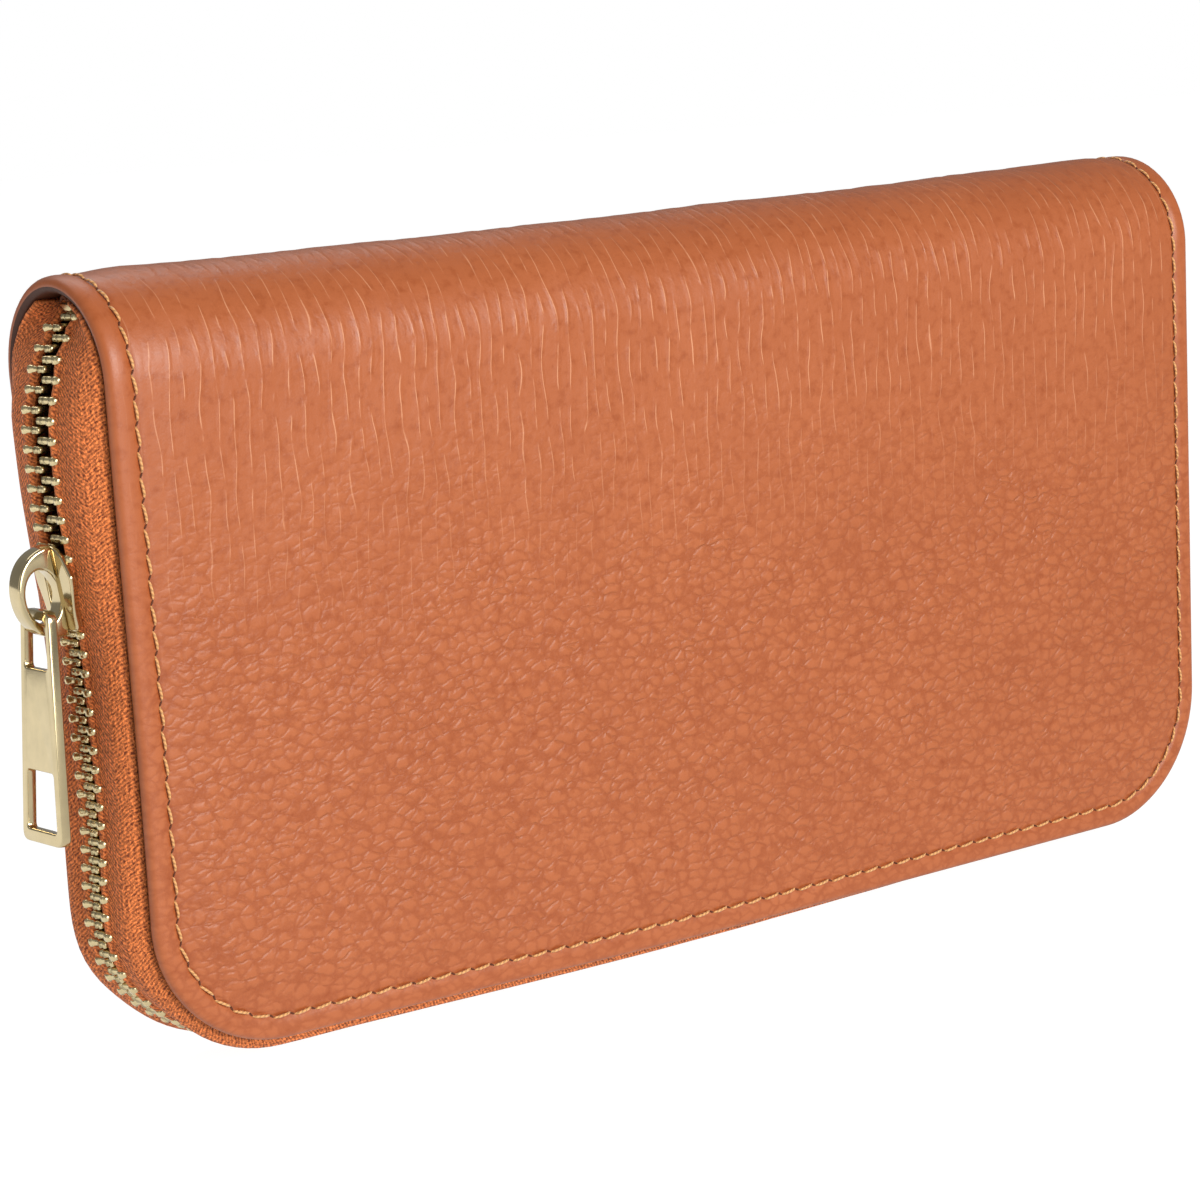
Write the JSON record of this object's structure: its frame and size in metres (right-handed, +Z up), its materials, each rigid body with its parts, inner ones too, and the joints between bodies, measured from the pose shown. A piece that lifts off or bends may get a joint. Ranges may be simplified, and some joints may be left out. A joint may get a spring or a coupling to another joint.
{
  "type": "zip around wallet",
  "caption": "Long leather wallet closed by a metal zip round three edges, with a hanging pull, opening at a rounded spine onto pleated bill bays, card slots and a coin pocket.",
  "frame": {"origin": "centre of the whole part's footprint, on the surface that its zip edge stands on", "axes": "+Z up towards the rounded spine, X along the wallet's width with the slider at -X, front cover at -Y, back cover at +Y"},
  "size_m": [0.2083, 0.0266, 0.107],
  "materials": {
    "tan_leather": "pebbled, satin",
    "board": "matte fibre board",
    "zip_tape": "woven",
    "lining": "smooth, matte",
    "gold": "polished, pale gold plated",
    "brass_teeth": "satin"
  },
  "bodies": {
    "back_half": {"back_cover_leather": "tan_leather", "back_stiffener_board": "board", "back_lining": "lining", "back_zip_tape": "zip_tape", "back_zip_teeth": "brass_teeth", "back_zip_top_stop": "brass_teeth", "back_card_pocket_1": "lining", "back_card_pocket_2": "lining", "back_card_pocket_3": "lining", "back_card_pocket_4": "lining", "left_back_gusset": "lining", "right_back_gusset": "lining", "zip_bottom_stop": "brass_teeth"},
    "front_half": {"front_cover_leather": "tan_leather", "front_stiffener_board": "board", "front_lining": "lining", "front_zip_tape": "zip_tape", "front_zip_teeth": "brass_teeth", "front_zip_top_stop": "brass_teeth", "front_card_pocket_1": "lining", "front_card_pocket_2": "lining", "front_card_pocket_3": "lining", "front_card_pocket_4": "lining", "left_front_gusset": "lining", "right_front_gusset": "lining"},
    "coin_pocket": {"coin_pocket_front_wall": "lining", "coin_pocket_back_wall": "lining", "coin_pocket_spine_fold": "lining", "coin_pocket_left_side": "lining", "coin_pocket_right_side": "lining", "coin_front_zip_tape": "zip_tape", "coin_back_zip_tape": "zip_tape", "coin_front_zip_teeth": "brass_teeth", "coin_back_zip_teeth": "brass_teeth"},
    "main_slider": {"main_slider_body": "gold", "main_slider_bridge": "gold"},
    "main_pull": {"main_slider_pull": "gold"},
    "coin_slider": {"coin_slider_body": "gold", "coin_slider_bridge": "gold"},
    "coin_pull": {"coin_slider_pull": "gold"}
  },
  "joints": [
    {"name": "front_cover_opening", "type": "hinge", "parent": "back_half", "child": "front_half", "pos_m": [0.00355, 0, 0.107], "axis": [-1, 0, 0], "range_deg": [0, 50], "deforming": ["left_front_gusset", "right_front_gusset", "left_back_gusset", "right_back_gusset", "front_zip_teeth", "back_zip_teeth"]},
    {"name": "coin_pocket_swing", "type": "hinge", "parent": "back_half", "child": "coin_pocket", "pos_m": [0.00355, 0, 0.107], "axis": [-1, 0, 0], "range_deg": [0, 25]},
    {"name": "main_slider_travel", "type": "slide", "parent": "back_half", "child": "main_slider", "axis": [0, 0, 1], "range_m": [-0.032, 0.014]},
    {"name": "main_pull_swing", "type": "hinge", "parent": "main_slider", "child": "main_pull", "pos_m": [-0.10085, 0, 0.0642], "axis": [0, 1, 0], "range_deg": [-5, 130]},
    {"name": "coin_slider_travel", "type": "slide", "parent": "coin_pocket", "child": "coin_slider", "axis": [1, 0, 0], "range_m": [0, 0.15], "deforming": ["coin_front_zip_teeth", "coin_back_zip_teeth"]},
    {"name": "coin_pull_swing", "type": "hinge", "parent": "coin_slider", "child": "coin_pull", "pos_m": [-0.0696, 0, 0.0219], "axis": [0, 1, 0], "range_deg": [-80, 45]}
  ],
  "couplings": [
    {"joint": "coin_pocket_swing", "follows": "front_cover_opening", "ratio": 0.5}
  ]
}
